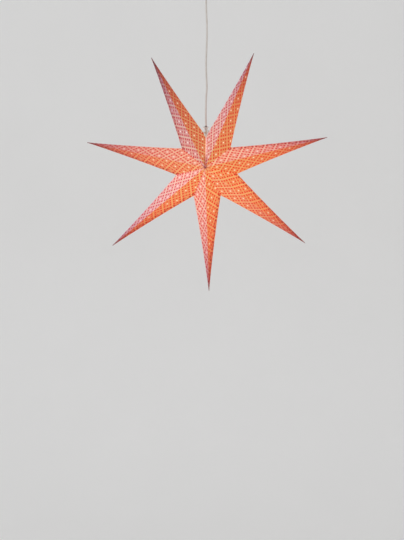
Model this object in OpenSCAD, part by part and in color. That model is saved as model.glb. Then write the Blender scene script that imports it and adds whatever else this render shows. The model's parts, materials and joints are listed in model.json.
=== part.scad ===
// Lit paper advent star with seven folded points, hung by its lead from a ceiling cup.
// Millimetres. +X is to the right, +Y is to the back, +Z is up, and the origin is on the ceiling,
// at the middle of the cup's rim.

/* [Star] */
// Distance from the star's middle to the tip of a point
star_r = 375; // [300:5:450]
// Distance from the star's middle to the notch between two points
notch_r = 95; // [92:1:110]
// Depth of the star at its middle, from front to back
star_depth = 132; // [124:1:160]
// Turn of the whole star about its front-to-back axis, in degrees
hang_turn = 1.1; // [-2:0.1:2]
// Lean of the point to the right of the seam towards the seam, in degrees
seam_lean = 2.1; // [0:0.1:2.4]
// Gap between the two points at the open seam
seam_gap = 0.8; // [0.6:0.1:1.6]
// Distance from the ceiling down to the star's middle
star_drop = 600; // [600:5:640]

/* [Paper] */
// Thickness of the card
paper_t = 0.35; // [0.3:0.05:0.6]
// Width of the glue fins along the valleys
fin_w = 8; // [5:0.5:9]
// Distance of the glue fins from the star's front-to-back axis
fin_start = 7; // [5:0.5:12]
// Width of the glued flap that closes a point along its edge
flap_w = 12; // [8:1:16]
// Diameter of the small opening where the points meet
pole_d = 5; // [4:0.5:8]
// Diameter of the opening for the lead at the seam
cord_opening_d = 10; // [9.6:0.1:12]

/* [Pierced holes] */
// Diameter of the light holes
hole_d = 3; // [2:0.1:5]
// Distance between neighbouring light holes
hole_pitch = 31.3; // [24:0.1:45]
// Turn of the rows of light holes from the fold, in degrees
hole_turn = 32.7; // [20:0.1:44]
// Distance of the first light hole from the star's middle, along the fold
hole_along = 52.4; // [40:0.1:70]
// Distance of the first light hole from the fold
hole_aside = 15.2; // [10:0.1:25]
// Card left between a light hole and a fold or an edge
hole_rim = 1.2; // [0.8:0.1:3]

/* [Tie and clip] */
// Height of the tie above the notch
tie_rise = 12; // [11:0.5:14]
// Diameter of the cotton string
string_d = 1.2; // [0.8:0.1:1.4]
// Diameter of the punched holes for the string
string_hole_d = 2.6; // [2.2:0.1:4]
// Distance of the string holes from the point's edge, seen from the front
string_inset = 4.5; // [4:0.5:6]
// Diameter of the clip's collar, under the string
clip_collar_d = 9.4; // [8.8:0.1:9.5]
// Diameter of the clip's top disc
clip_disc_d = 19; // [14:0.5:22]
// Diameter of the clip's waist, where the string is tied
clip_waist_d = 7.6; // [7:0.1:8.4]
// Height of the clip's ribs, from the string to the disc
clip_rib_h = 16; // [12:0.5:20]
// Outer diameter of the rubber ring that closes the clip on the lead
ring_d = 9; // [8.4:0.1:10]
// Height of the rubber ring
ring_h = 2.5; // [1.5:0.1:4]

/* [Lead] */
// Diameter of the lead
cord_d = 5; // [4:0.1:5.2]
// Clearance between the lead and each bore that it passes, all round
cord_fit = 0.15; // [0.1:0.05:0.3]

/* [Lamp holder] */
// Outer diameter of the holder's sleeve
holder_d = 28; // [27:0.5:32]
// Wall of the holder's sleeve and cap
holder_wall = 1.6; // [1.2:0.1:2.2]
// Height of the sleeve
sleeve_h = 34; // [30:1:36]
// Height of the domed cap
cap_h = 15; // [13:0.5:17]
// Diameter of the cord grip on the cap
grip_d = 10; // [9:0.1:10.4]
// Height of the cord grip above the cap
grip_h = 11; // [8:0.5:12]
// Height of the holder's lower rim above the star's middle
holder_rise = 8; // [5:1:10]

/* [Bulb] */
// Diameter of the round bulb
bulb_d = 45; // [38:1:46]
// Length of the bulb from its round end to its centre contact
bulb_len = 77; // [76:1:80]
// Diameter of the bulb's screw cap
screw_d = 14; // [13.5:0.1:14.4]
// Height of the bulb's screw cap
screw_h = 19; // [17:0.5:20]
// Clearance of the bulb's screw cap in its shell, all round
screw_fit = 0.15; // [0.1:0.05:0.3]

/* [Ceiling cup] */
// Diameter of the cup at the ceiling
cup_d = 78; // [70:1:90]
// Diameter of the cup's flat bottom
cup_bottom_d = 46; // [38:1:52]
// Height of the cup
cup_h = 60; // [56:1:64]
// Height of the cup's straight band at the ceiling
cup_band = 17; // [15:1:24]
// Wall of the cup
cup_wall = 1.8; // [1.4:0.1:2.4]
// Diameter of the cup's gland
gland_d = 15; // [13:0.5:18]
// Height of the gland below the cup
gland_h = 15; // [10:0.5:18]
// Diameter of the gland's neck through the cup
gland_neck_d = 10; // [9:0.5:11]
// Width of the terminal block in the cup
block_w = 24; // [20:1:28]
// Depth of the terminal block in the cup
block_depth = 18; // [15:1:20]
// Thickness of the steel strap that holds the cup
strap_t = 1.5; // [1.2:0.1:2]

/* [Hidden] */

points = 7;
half_step = 180 / points;
pole_y = star_depth / 2;
far = 3 * star_r;
cut = 0.02;
facets = 48;
notch_x = notch_r * cos(half_step);
notch_z = notch_r * sin(half_step);
valley = sqrt(pole_y * pole_y + notch_r * notch_r);
cord_r = cord_d / 2;
bore_r = cord_r + cord_fit;
$fn = 64;

// Colours of the finished pieces
card_colour = [0.93, 0.52, 0.42];
white_plastic = [0.9, 0.9, 0.88];
clear_plastic = [0.85, 0.88, 0.9, 0.4];
black_rubber = [0.08, 0.08, 0.08];
brass = [0.78, 0.62, 0.3];

function unit(v) = v / norm(v);

// The tip of a point that leans, in the point's own frame: tip along +X, front at -Y
function tip_at(lean) = [star_r * cos(lean), 0, star_r * sin(lean)];

// Outward normal of a front panel. side is 1 for the panel towards +Z, and -1 for the other
function panel_normal(lean, side) =
    let(pole = [0, -pole_y, 0], notch = [notch_x, 0, side * notch_z])
    side * unit(cross(tip_at(lean) - pole, notch - pole));

// Where a front panel, moved inwards by inset, lies on the edge plane y = 0 at a given x
function edge_z(lean, side, inset, x) =
    let(n = panel_normal(lean, side))
    (n * tip_at(lean) - inset - n[0] * x) / n[2];

// The inner tip, where both pairs of panels meet when moved inwards
function inner_tip(lean, inset) =
    let(a = panel_normal(lean, 1), b = panel_normal(lean, -1),
        ca = a * tip_at(lean) - inset, cb = b * tip_at(lean) - inset,
        det = a[0] * b[2] - a[2] * b[0])
    [(ca * b[2] - a[2] * cb) / det, 0, (a[0] * cb - ca * b[0]) / det];

// The front fold at a given x, where the two front panels meet when moved inwards
function fold_at(lean, inset, x) =
    let(a = panel_normal(lean, 1), b = panel_normal(lean, -1),
        ca = a * tip_at(lean) - inset - a[0] * x, cb = b * tip_at(lean) - inset - b[0] * x,
        det = a[1] * b[2] - a[2] * b[1])
    [x, (ca * b[2] - a[2] * cb) / det, (a[1] * cb - ca * b[1]) / det];

// How far a spike's solid runs on behind the star's middle, where the sector cuts it off
spike_back = 10;

// Solid spike bounded by the four panels, each moved inwards by inset, from x = -back to the tip
module spike(lean, inset, back) {
    front = fold_at(lean, inset, -back);
    polyhedron(
        points = [inner_tip(lean, inset), front, [-back, 0, edge_z(lean, 1, inset, -back)],
            [-back, -front[1], front[2]], [-back, 0, edge_z(lean, -1, inset, -back)]],
        faces = [[0, 1, 2], [0, 2, 3], [0, 3, 4], [0, 4, 1], [4, 3, 2, 1]]);
}

// Prism between the two planes that part a point from its neighbours
module sector(gap_up, gap_down) {
    rotate([90, 0, 0])
        linear_extrude(height = 2 * star_depth, center = true)
            polygon([[(gap_up + gap_down) / 2 / sin(half_step), (gap_down - gap_up) / 2 / cos(half_step)],
                far * [cos(half_step), sin(half_step)] + gap_up * [sin(half_step), -cos(half_step)],
                far * [cos(half_step), -sin(half_step)] + gap_down * [sin(half_step), cos(half_step)]]);
}

// Slab that keeps the two glue fins, front and back, along the valley on one side
module fins(side, gap) {
    inner_y = pole_y - fin_w * valley / notch_r;
    inner_u = notch_r - fin_w * valley / pole_y;
    rotate([0, -side * half_step, 0])
        translate([0, 0, side > 0 ? -gap - paper_t : gap - 1])
            linear_extrude(height = paper_t + 1)
                difference() {
                    translate([fin_start, -star_depth])
                        square([2 * notch_r, 2 * star_depth]);
                    polygon([[-notch_r, -inner_y * (1 + notch_r / inner_u)], [inner_u, 0],
                        [-notch_r, inner_y * (1 + notch_r / inner_u)]]);
                    translate([0, -paper_t])
                        square([notch_r + 1, 2 * paper_t]);
                }
}

// Band along the +Z edge of the front panel, where the glued flap lies under it
module flap_band(lean) {
    tip = tip_at(lean);
    notch = [notch_x, 0, notch_z];
    along = unit(tip - notch);
    inwards = [along[2], 0, -along[0]];
    reach = flap_w * abs(panel_normal(lean, 1)[1]);
    start = notch + 0.5 * along - 5 * inwards;
    finish = tip + 5 * along - 5 * inwards;
    translate([0, -paper_t / 4, 0])
        rotate([90, 0, 0])
            linear_extrude(height = star_depth)
                polygon([for (p = [start, finish, finish + (reach + 5) * inwards,
                    start + (reach + 5) * inwards]) [p[0], p[2]]]);
}

// Hollow of a sheet: what its panels enclose, less the fins and the flap
module hollow(lean, gap_up, gap_down) {
    difference() {
        spike(lean, paper_t, 2 * spike_back);
        fins(1, gap_up);
        fins(-1, gap_down);
        difference() {
            flap_band(lean);
            spike(lean, 2 * paper_t, 2 * spike_back + paper_t);
        }
    }
}

// Angle at the tip between the fold and the edge of a panel
function tip_angle(lean, side) =
    let(to_pole = unit([0, -pole_y, 0] - tip_at(lean)),
        to_notch = unit([notch_x, 0, side * notch_z] - tip_at(lean)))
    acos(to_pole * to_notch);

// A point of the flat sheet, as distance from the tip and angle from the front fold, is placed on
// its panel: [distance, angle from the panel's fold, depth side, edge side]
function on_panel(lean, reach, turn) =
    let(up = tip_angle(lean, 1), down = tip_angle(lean, -1))
    turn < 0 ? [reach, -turn, -1, 1]
    : turn < down ? [reach, turn, -1, -1]
    : turn < 2 * down ? [reach, 2 * down - turn, 1, -1]
    : [reach, turn - 2 * down, 1, 1];

// The light holes of a sheet, as on_panel gives them, that lie clear of folds, edges and flap
function hole_places(lean) =
    let(fold_len = norm(tip_at(lean) - [0, -pole_y, 0]), rows = ceil(star_r / hole_pitch) + 2)
    [for (i = [-rows:rows], j = [-rows:rows])
        let(x = hole_along - fold_len + hole_pitch * (i * cos(hole_turn) + j * sin(hole_turn)),
            y = hole_aside + hole_pitch * (j * cos(hole_turn) - i * sin(hole_turn)),
            reach = norm([x, y]), turn = atan2(-y, -x),
            up = tip_angle(lean, 1), down = tip_angle(lean, -1),
            clear = hole_d / 2 + hole_rim,
            place = on_panel(lean, reach, turn),
            width = place[3] > 0 ? up : down,
            edge_clear = place[2] < 0 && place[3] > 0 ? flap_w + clear : clear)
        if (turn > -up && turn < 2 * down + up
            && reach * sin(place[1]) > clear
            && reach * sin(width - place[1]) > edge_clear
            && valley_room(lean, place) > clear + 1)
            place];

// Distance of a placed hole from the valley that ends its panel
function valley_room(lean, place) =
    let(fold_len = norm(tip_at(lean) - [0, -pole_y, 0]),
        notch_len = norm([notch_x, 0, place[3] * notch_z] - tip_at(lean)),
        width = tip_angle(lean, place[3]),
        v = unit(notch_len * [cos(width), sin(width)] - [fold_len, 0]))
    ([fold_len, 0] - place[0] * [cos(place[1]), sin(place[1])]) * [v[1], -v[0]];

// Drills for the light holes, square to each panel, and clear of the string hole
module light_holes(lean, string_at) {
    tip = tip_at(lean);
    apart = (hole_d + string_hole_d) / 2 + hole_rim;
    for (place = hole_places(lean)) {
        pole = [0, place[2] * pole_y, 0];
        ex = unit(pole - tip);
        notch = [notch_x, 0, place[3] * notch_z];
        ey = unit((notch - tip) - ((notch - tip) * ex) * ex);
        p = tip + place[0] * (cos(place[1]) * ex + sin(place[1]) * ey);
        ez = cross(ex, ey);
        if (is_undef(string_at) || norm([p[0], p[2]] - string_at) > apart)
            multmatrix([[ex[0], ey[0], ez[0], p[0]], [ex[1], ey[1], ez[1], p[1]],
                [ex[2], ey[2], ez[2], p[2]], [0, 0, 0, 1]])
                cylinder(d = hole_d, h = 4 * paper_t, center = true, $fn = facets);
    }
}

// One folded sheet in its own frame: tip along +X, front at -Y, glued flap at the +Z edge
module sheet(lean = 0, gap_up = 0, gap_down = 0, string_at = undef) {
    difference() {
        intersection() {
            spike(lean, 0, spike_back);
            sector(gap_up, gap_down);
        }
        hollow(lean, gap_up, gap_down);
        rotate([90, 0, 0])
            cylinder(d = pole_d, h = 2 * star_depth, center = true, $fn = facets);
        light_holes(lean, string_at);
    }
}

// Direction of the seam, where the first and last point meet
seam_angle = 90 + hang_turn;
seam_x = notch_r * cos(seam_angle);

// Moves what is drawn around the star's middle to where the star hangs, seam under the lead
module at_star() {
    translate([-seam_x, 0, -star_drop])
        children();
}

// Point number i, counted against the clock from the seam at the top
function point_angle(i) = seam_angle + (2 * i + 1) * half_step;

module paper_point(i) {
    color(card_colour)
        at_star()
            rotate([0, -point_angle(i), 0])
                sheet();
}

// Edge of the point beside the seam at a height over the star's middle: side is -1 to the left
function seam_edge_x(side, z) =
    let(tip_a = seam_angle - side * half_step + (side > 0 ? seam_lean : 0),
        n = notch_r * [cos(seam_angle), sin(seam_angle)],
        t = star_r * [cos(tip_a), sin(tip_a)])
    n[0] + (t[0] - n[0]) * (z - n[1]) / (t[1] - n[1]);

tie_z = notch_r + tie_rise;
function string_hole_x(side) = seam_edge_x(side, tie_z) + side * string_inset;

// The string hole in the frame of its own sheet, the right one being turned over
function string_hole_at(side) =
    let(a = point_angle(side < 0 ? 0 : points - 1), x = string_hole_x(side))
    [x * cos(a) + tie_z * sin(a), side * (x * sin(a) - tie_z * cos(a))];

// Openings at the seam for the lead, the lamp holder's grip and the string
module seam_cuts() {
    translate([seam_x, 0, 0]) {
        cylinder(d = cord_opening_d, h = notch_r + tie_rise);
        cylinder(d = grip_d + 4, h = notch_r - 14);
    }
    for (side = [-1, 1])
        translate([string_hole_x(side), 0, tie_z])
            rotate([90, 0, 0])
                cylinder(d = string_hole_d, h = star_depth, center = true);
}

module point_top_left() {
    color(card_colour)
        at_star()
            difference() {
                rotate([0, -point_angle(0), 0])
                    sheet(gap_down = seam_gap / 2, string_at = string_hole_at(-1));
                seam_cuts();
            }
}

module point_left() {
    paper_point(1);
}

module point_lower_left() {
    paper_point(2);
}

module point_bottom() {
    paper_point(3);
}

module point_lower_right() {
    paper_point(4);
}

module point_right() {
    paper_point(5);
}

// The last sheet is glued in the other way round, with its back to the front
module point_top_right() {
    color(card_colour)
        at_star()
            difference() {
                rotate([0, -point_angle(points - 1), 0])
                    rotate([180, 0, 0])
                        sheet(lean = -seam_lean, gap_down = seam_gap / 2, string_at = string_hole_at(1));
                seam_cuts();
            }
}

// Points between the route's own points, on a smooth curve through them
function curve_point(a, b, c, d, t) =
    0.5 * (2 * b + t * (c - a) + t * t * (2 * a - 5 * b + 4 * c - d) + t * t * t * (3 * b - a - 3 * c + d));

function smooth(p, steps) =
    let(n = len(p) - 1)
    [for (i = [0:n - 1], k = [0:steps - 1])
        curve_point(p[max(i - 1, 0)], p[i], p[i + 1], p[min(i + 2, n)], k / steps), p[n]];

// A round strand along a route, as one polyhedron. across is never along the route
module strand(route, r, sides, across) {
    n = len(route) - 1;
    function heading(i) = unit(route[min(i + 1, n)] - route[max(i - 1, 0)]);
    function corner(i, k) =
        let(t = heading(i), u = unit(cross(across, t)), v = cross(t, u), a = 360 * k / sides)
        route[i] + r * (cos(a) * u + sin(a) * v);
    polyhedron(
        points = [for (i = [0:n], k = [0:sides - 1]) corner(i, k)],
        faces = concat(
            [for (i = [0:n - 1], k = [0:sides - 1], half = [0, 1])
                let(a = i * sides, right = (k + 1) % sides)
                half == 0 ? [a + k, a + sides + k, a + sides + right]
                : [a + k, a + sides + right, a + right]],
            [[for (k = [0:sides - 1]) k]],
            [[for (k = [sides - 1:-1:0]) n * sides + k]]));
}

// Height of the string, and the lower face of the clip's disc
string_z = tie_z - star_drop;
disc_z = string_z + clip_rib_h;
waist_r = clip_waist_d / 2;
string_r = string_d / 2;
panel_rise = pole_y / notch_z;

// The string's loop, from the knot through both points and back, seen from above
tie_front = -waist_r - string_d - 1;
hole_left = string_hole_x(-1) - seam_x;
hole_right = string_hole_x(1) - seam_x;
past_card = string_inset * panel_rise + string_r + 1;
tie_loop = [[-1, tie_front, 0], [hole_left + 3, -past_card, 0], [hole_left, -past_card + 1, 0],
    [hole_left, 0, 0], [hole_left, past_card - 1, 0], [hole_left + 3, past_card, 0], [0, past_card + 1, 0],
    [hole_right - 3, past_card, 0], [hole_right, past_card - 1, 0], [hole_right, 0, 0],
    [hole_right, -past_card + 1, 0], [hole_right - 3, -past_card, 0], [1, tie_front, 0]];
bow_loop = [[0.3, tie_front, 0.4], [3, tie_front - 1, 3], [7, tie_front - 1, 5], [9, tie_front, 3],
    [7, tie_front + 0.5, 0.5], [3, tie_front, -0.5], [0.4, tie_front + 0.2, -0.3]];
tail_left = [[-0.3, tie_front, -0.2], [-3, tie_front - 1, -1], [-5, tie_front - 1, -5], [-5, tie_front, -10]];
tail_right = [[0.2, tie_front - 0.3, -0.5], [2, tie_front - 1.4, -2.6], [3, tie_front - 2, -6], [5, tie_front - 2, -9]];
wound_r = (waist_r + string_r) / cos(10) + cut;
winding = [for (a = [0:20:340]) [-wound_r * sin(a + 10), -wound_r * cos(a + 10), 0]];

module tie_string() {
    color([0.9, 0.87, 0.8])
        translate([0, 0, string_z]) {
            strand(smooth(tie_loop, 3), string_r, 8, [0, 0, 1]);
            strand(smooth(bow_loop, 3), string_r, 8, [0, 1, 0]);
            strand(smooth(tail_left, 3), string_r, 8, [0, 1, 0]);
            strand(smooth(tail_right, 3), string_r, 8, [0, 1, 0]);
            strand(winding, string_r, 8, [0, 0, 1]);
            hull()
                for (x = [-0.8, 0.8])
                    translate([x, tie_front + 0.1, 0])
                        sphere(r = 1.7, $fn = 16);
        }
}

module cord_clip() {
    tube_r = waist_r - 0.8;
    color(clear_plastic)
        translate([0, 0, string_z])
            difference() {
                union() {
                    translate([0, 0, -4.5])
                        cylinder(d = clip_collar_d, h = 2);
                    translate([0, 0, -3])
                        cylinder(r = waist_r, h = 6);
                    translate([0, 0, 2])
                        cylinder(r = tube_r, h = clip_rib_h + ring_h);
                    translate([0, 0, clip_rib_h - 1.5])
                        cylinder(d = clip_disc_d, h = 1.5);
                    for (turn = [45, 135])
                        rotate([90, 0, turn])
                            linear_extrude(height = 1.2, center = true)
                                polygon([[-waist_r, 2], [waist_r, 2],
                                    [clip_disc_d / 2 - 0.6, clip_rib_h - 1], [-clip_disc_d / 2 + 0.6, clip_rib_h - 1]]);
                }
                translate([0, 0, -6])
                    cylinder(r = bore_r, h = clip_rib_h + ring_h + 12);
                translate([-clip_disc_d / 2, -0.3, clip_rib_h + 0.4])
                    cube([clip_disc_d, 0.6, ring_h + 4]);
            }
}

module clip_ring() {
    color(black_rubber)
        translate([0, 0, disc_z + cut])
            rotate_extrude()
                difference() {
                    translate([waist_r - 0.8 + cut, 0])
                        square([ring_d / 2 - waist_r + 0.8 - cut, ring_h - 0.5]);
                    translate([ring_d / 2, 0])
                        circle(r = 0.3, $fn = 24);
                    translate([ring_d / 2, ring_h - 0.5])
                        circle(r = 0.3, $fn = 24);
                }
}

// Heights in the lamp holder
rim_z = holder_rise - star_drop;
sleeve_top = rim_z + sleeve_h;
cap_top = sleeve_top + cap_h;
grip_top = cap_top + grip_h;
contact_z = sleeve_top - 8;
spigot_r = cord_r + 1.2;

// The lead's route. Between the ceiling and the star it keeps a few slight kinks from its packing,
// given as [to the right, to the back, height over the star's middle]
cord_kinks = [[1, 0, 480], [3, 1, 410], [0.5, 0, 320], [1.5, -1, 275], [2.5, 0, 240], [0.5, 1, 210], [-0.5, 0, 160]];
gland_bottom = -cup_h - gland_h;
cord_route = concat(
    [[0, 0, -14], [0, 0, -40], [0, 0, gland_bottom]],
    [for (k = cord_kinks) k - [0, 0, star_drop]],
    [[0, 0, disc_z + 6], [0, 0, string_z - 6], [0, 0, grip_top], [0, 0, sleeve_top + 4]]);

module cord() {
    color([0.72, 0.7, 0.68])
        strand(smooth(cord_route, 5), cord_r, 12, [0, 1, 0]);
}

module cord_grip() {
    color(white_plastic)
        translate([0, 0, cap_top + cut])
            difference() {
                cylinder(d = grip_d, h = grip_h - cut);
                translate([0, 0, -1])
                    cylinder(r = spigot_r + 0.1, h = 6.2);
                cylinder(r = bore_r, h = grip_h + 1);
                for (turn = [0:45:315])
                    rotate([0, 0, turn])
                        translate([grip_d / 2 + 0.4, 0, -1])
                            cylinder(r = 0.9, h = grip_h - 1.5);
            }
}

module holder_cap() {
    inner_r = holder_d / 2 - holder_wall;
    color(white_plastic)
        translate([0, 0, sleeve_top + cut]) {
            difference() {
                union() {
                    cylinder(d = holder_d, h = 3);
                    translate([0, 0, 3])
                        cylinder(d1 = holder_d, d2 = grip_d + 2, h = cap_h - 3 - cut);
                    cylinder(r = spigot_r, h = cap_h + 5);
                }
                translate([0, 0, -1])
                    cylinder(r = inner_r, h = 4);
                translate([0, 0, 3 - cut])
                    cylinder(r1 = inner_r, r2 = grip_d / 2 - 0.4, h = cap_h - 5);
                cylinder(r = bore_r, h = cap_h + 10);
            }
        }
}

module holder_sleeve() {
    color(white_plastic)
        translate([0, 0, rim_z])
            difference() {
                union() {
                    cylinder(d = holder_d, h = sleeve_h);
                    for (z = [3, 7, 11, 15])
                        translate([0, 0, z])
                            cylinder(d = holder_d + 1.2, h = 1.6);
                }
                translate([0, 0, -1])
                    cylinder(d = holder_d - 2 * holder_wall, h = sleeve_h + 2);
            }
}

shell_r = screw_d / 2 + screw_fit;
// The insert's height, and how far its foot lies under the bulb's contact
insert_h = 24;
insert_seat = 18;
insert_bottom = contact_z - insert_seat;

module holder_insert() {
    color([0.93, 0.92, 0.88])
        translate([0, 0, insert_bottom])
            difference() {
                cylinder(d = holder_d - 2 * holder_wall - 2 * cut, h = insert_h);
                translate([0, 0, -1])
                    cylinder(r = shell_r + 0.5 + cut, h = insert_seat + 0.5);
                translate([0, 0, insert_seat - 1])
                    cylinder(r = shell_r - 1, h = 4);
                for (side = [-1, 1])
                    translate([side * (shell_r + 2.6), 0, insert_seat - 4])
                        cylinder(d = 3.2, h = insert_h / 2);
            }
}

module screw_shell() {
    color(brass)
        translate([0, 0, insert_bottom + 0.5])
            difference() {
                cylinder(r = shell_r + 0.5, h = insert_seat - 1.5);
                translate([0, 0, -1])
                    cylinder(r = shell_r, h = 20);
            }
}

module centre_contact() {
    color(brass)
        translate([0, 0, contact_z]) {
            translate([-2.5, -2, 0])
                cube([5, 4, 0.5]);
            translate([-2.5, -2, 0])
                cube([0.5, 4, 2.98]);
            translate([-2.5, -2, 2.48])
                cube([5, 4, 0.5]);
        }
}

bulb_r = bulb_d / 2;
globe_z = contact_z - bulb_len + bulb_r;
neck_r = screw_d / 2 + 1.6;
neck_slope = 30;

module bulb() {
    cone_h = (bulb_r * cos(neck_slope) - neck_r) / tan(neck_slope);
    color([0.98, 0.94, 0.85])
        union() {
            translate([0, 0, globe_z])
                sphere(r = bulb_r);
            translate([0, 0, globe_z + bulb_r * sin(neck_slope)])
                cylinder(r1 = bulb_r * cos(neck_slope), r2 = neck_r, h = cone_h);
            translate([0, 0, globe_z])
                cylinder(r = neck_r, h = contact_z - globe_z - screw_h + 0.6);
            translate([0, 0, contact_z - screw_h])
                cylinder(d = screw_d, h = screw_h - 3);
            translate([0, 0, contact_z - 3.02])
                cylinder(d1 = screw_d - 1, d2 = 6, h = 1.5);
            translate([0, 0, contact_z - 2])
                cylinder(d = 5, h = 2 - cut);
        }
}

module ceiling_cup() {
    r1 = cup_bottom_d / 2;
    r2 = cup_d / 2;
    edge = 6;
    color(white_plastic)
        difference() {
            rotate_extrude()
                union() {
                    polygon([[0, -cup_h], [r1 - edge, -cup_h], [r1, -cup_h + edge], [r2, -cup_band], [r2, 0], [0, 0]]);
                    translate([r1 - edge, -cup_h + edge])
                        circle(r = edge);
                }
            rotate_extrude()
                union() {
                    polygon([[0, -cup_h + cup_wall], [r1 - edge, -cup_h + cup_wall],
                        [r1 - cup_wall, -cup_h + edge], [r2 - cup_wall, -cup_band], [r2 - cup_wall, 1], [0, 1]]);
                    translate([r1 - edge, -cup_h + edge])
                        circle(r = edge - cup_wall);
                }
            translate([0, 0, -cup_h - 1])
                cylinder(d = gland_neck_d + 0.2, h = cup_wall + 2);
            for (side = [0, 180])
                rotate([0, 0, side])
                    translate([r2 - cup_wall - 4, 0, -9])
                        rotate([0, 90, 0])
                            cylinder(d = 3.2, h = 10);
        }
}

module cup_gland() {
    color(white_plastic)
        translate([0, 0, -cup_h - gland_h])
            difference() {
                union() {
                    cylinder(d1 = gland_d - 3, d2 = gland_d, h = gland_h - 3);
                    translate([0, 0, gland_h - 3])
                        cylinder(d = gland_d + 3, h = 3 - cut);
                    cylinder(d = gland_neck_d, h = gland_h + 9);
                }
                translate([0, 0, -1])
                    cylinder(r = bore_r, h = gland_h + 12);
            }
}

module gland_nut() {
    color(white_plastic)
        translate([0, 0, -cup_h + cup_wall + cut])
            difference() {
                cylinder(d = gland_neck_d + 7, h = 4, $fn = 6);
                translate([0, 0, -1])
                    cylinder(d = gland_neck_d + 2 * cut, h = 6);
            }
}

// Half the length of the strap under the ceiling, and the radius of the cup's wall at its tabs
strap_half = cup_d / 2 - cup_wall - 1.2;

module ceiling_strap() {
    color([0.7, 0.7, 0.72])
        difference() {
            union() {
                translate([-strap_half, -7, -strap_t])
                    cube([2 * strap_half, 14, strap_t]);
                for (side = [-1, 1])
                    translate([side > 0 ? strap_half - strap_t : -strap_half, -7, -14])
                        cube([strap_t, 14, 14]);
            }
            for (side = [-1, 1])
                translate([side * 20, 0, -strap_t - 1])
                    cylinder(d = 5, h = strap_t + 2);
            for (side = [-1, 1])
                translate([side * (strap_half - strap_t / 2), 0, -9])
                    rotate([0, 90, 0])
                        cylinder(d = 3 + 2 * cut, h = strap_t + 2, center = true);
        }
}

module strap_screw(side) {
    head = cup_d / 2 + cut;
    color([0.75, 0.75, 0.77])
        rotate([0, 0, side > 0 ? 0 : 180])
            translate([strap_half - strap_t - 3, 0, -9])
                rotate([0, 90, 0])
                    difference() {
                        union() {
                            cylinder(d = 3, h = head - strap_half + strap_t + 3);
                            translate([0, 0, head - strap_half + strap_t + 3])
                                cylinder(d1 = 6, d2 = 4.6, h = 1.8);
                        }
                        translate([-4, -0.4, head - strap_half + strap_t + 4])
                            cube([8, 0.8, 2]);
                    }
}

module strap_screw_left() {
    strap_screw(-1);
}

module strap_screw_right() {
    strap_screw(1);
}

module terminal_block() {
    color([0.9, 0.9, 0.86])
        translate([0, 0, -strap_t - cut])
            difference() {
                translate([-block_w / 2, -block_depth / 2, -14])
                    cube([block_w, block_depth, 14]);
                translate([0, 0, -15])
                    cylinder(r = bore_r, h = 6);
                for (side = [-1, 1])
                    translate([side * block_w / 4, -block_depth / 2 - 1, -7])
                        rotate([-90, 0, 0])
                            cylinder(d = 3.6, h = 5);
            }
}

point_top_left();
point_left();
point_lower_left();
point_bottom();
point_lower_right();
point_right();
point_top_right();
tie_string();
cord_clip();
clip_ring();
cord();
cord_grip();
holder_cap();
holder_sleeve();
holder_insert();
screw_shell();
centre_contact();
bulb();
ceiling_cup();
cup_gland();
gland_nut();
ceiling_strap();
strap_screw_left();
strap_screw_right();
terminal_block();
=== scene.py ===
import bpy
import json
import math
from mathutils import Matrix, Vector, geometry


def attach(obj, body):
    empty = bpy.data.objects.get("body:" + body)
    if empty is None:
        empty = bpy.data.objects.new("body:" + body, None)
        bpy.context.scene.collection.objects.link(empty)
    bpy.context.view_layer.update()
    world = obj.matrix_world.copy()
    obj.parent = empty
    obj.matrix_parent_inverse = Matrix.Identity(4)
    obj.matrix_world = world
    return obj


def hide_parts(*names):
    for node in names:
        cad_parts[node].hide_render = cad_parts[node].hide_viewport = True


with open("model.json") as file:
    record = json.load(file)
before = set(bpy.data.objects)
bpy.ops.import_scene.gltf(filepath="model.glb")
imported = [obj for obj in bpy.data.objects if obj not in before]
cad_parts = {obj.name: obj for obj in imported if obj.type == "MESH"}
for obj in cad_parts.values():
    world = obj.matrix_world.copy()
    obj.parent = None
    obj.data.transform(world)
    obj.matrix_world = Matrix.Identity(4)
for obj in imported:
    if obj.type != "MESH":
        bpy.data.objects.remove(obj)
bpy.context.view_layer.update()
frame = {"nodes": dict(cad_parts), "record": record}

nodes = frame["nodes"]
mm = 0.001


def srgb(red, green, blue):
    # a colour as a screen shows it, 0 to 255, to Blender's linear numbers
    def straight(c):
        c = c / 255
        return c / 12.92 if c <= 0.04045 else ((c + 0.055) / 1.055) ** 2.4
    return (straight(red), straight(green), straight(blue), 1.0)


# ---- shader helpers

class Wire:
    # one socket of a material, so that shader maths reads as Python
    def __init__(self, board, socket):
        self.board = board
        self.socket = socket

    def maths(self, operation, *others):
        return self.board.add("ShaderNodeMath", {"operation": operation}, [self, *others])

    def after(self, operation, first):
        return self.board.add("ShaderNodeMath", {"operation": operation}, [first, self])

    def __add__(self, other):
        return self.maths("ADD", other)

    def __radd__(self, other):
        return self.after("ADD", other)

    def __sub__(self, other):
        return self.maths("SUBTRACT", other)

    def __rsub__(self, other):
        return self.after("SUBTRACT", other)

    def __mul__(self, other):
        return self.maths("MULTIPLY", other)

    def __rmul__(self, other):
        return self.after("MULTIPLY", other)

    def __truediv__(self, other):
        return self.maths("DIVIDE", other)

    def __rtruediv__(self, other):
        return self.after("DIVIDE", other)

    def __abs__(self):
        return self.maths("ABSOLUTE")

    def root(self):
        return self.maths("SQRT")

    def least(self, other):
        return self.maths("MINIMUM", other)

    def most(self, other):
        return self.maths("MAXIMUM", other)

    def fade(self, low, high, start=0.0, end=1.0):
        # smooth step of this value from low to high
        return self.board.add(
            "ShaderNodeMapRange", {"interpolation_type": "SMOOTHSTEP"},
            {"Value": self, "From Min": low, "From Max": high, "To Min": start, "To Max": end})


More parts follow.
